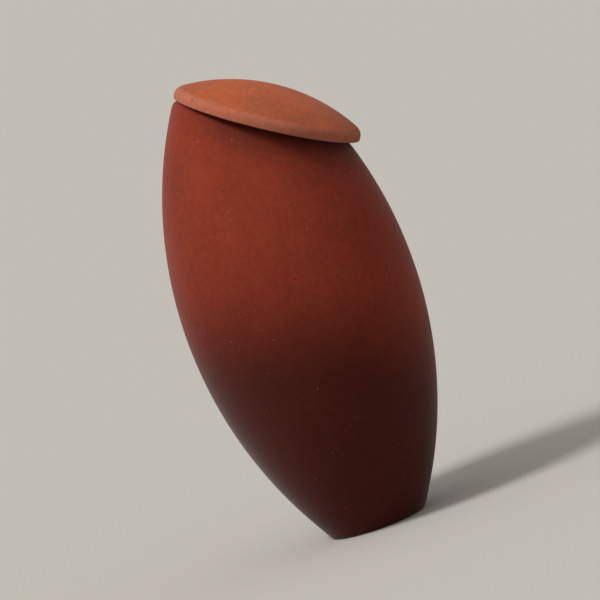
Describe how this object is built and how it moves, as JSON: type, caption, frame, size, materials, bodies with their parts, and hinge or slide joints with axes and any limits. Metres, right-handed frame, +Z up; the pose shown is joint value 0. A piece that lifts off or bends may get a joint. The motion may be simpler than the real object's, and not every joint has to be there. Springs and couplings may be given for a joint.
{
  "type": "irrigation olla",
  "caption": "Upright oval terracotta vessel with a slanting mouth and a loose domed lid, which is sunk in soil and lets its water seep out through the wall.",
  "frame": {"origin": "centre of the vessel's flat foot, on the surface that it stands on", "axes": "+Z up along the vessel's own axis, +X to the side that the mouth slopes down to, and the XZ plane is the plane of symmetry"},
  "size_m": [0.0546, 0.0546, 0.1089],
  "materials": {
    "vessel_terracotta": "unglazed terracotta, matt, a little darker and redder where it is damp",
    "lid_terracotta": "unglazed terracotta, matt and dry"
  },
  "bodies": {
    "vessel": {"vessel": "vessel_terracotta"},
    "lid": {"lid": "lid_terracotta"}
  },
  "joints": [
    {"name": "lid_lift", "type": "slide", "parent": "vessel", "child": "lid", "axis": [0.5388, 0, 0.8425], "range_m": [0, 0.08]}
  ]
}
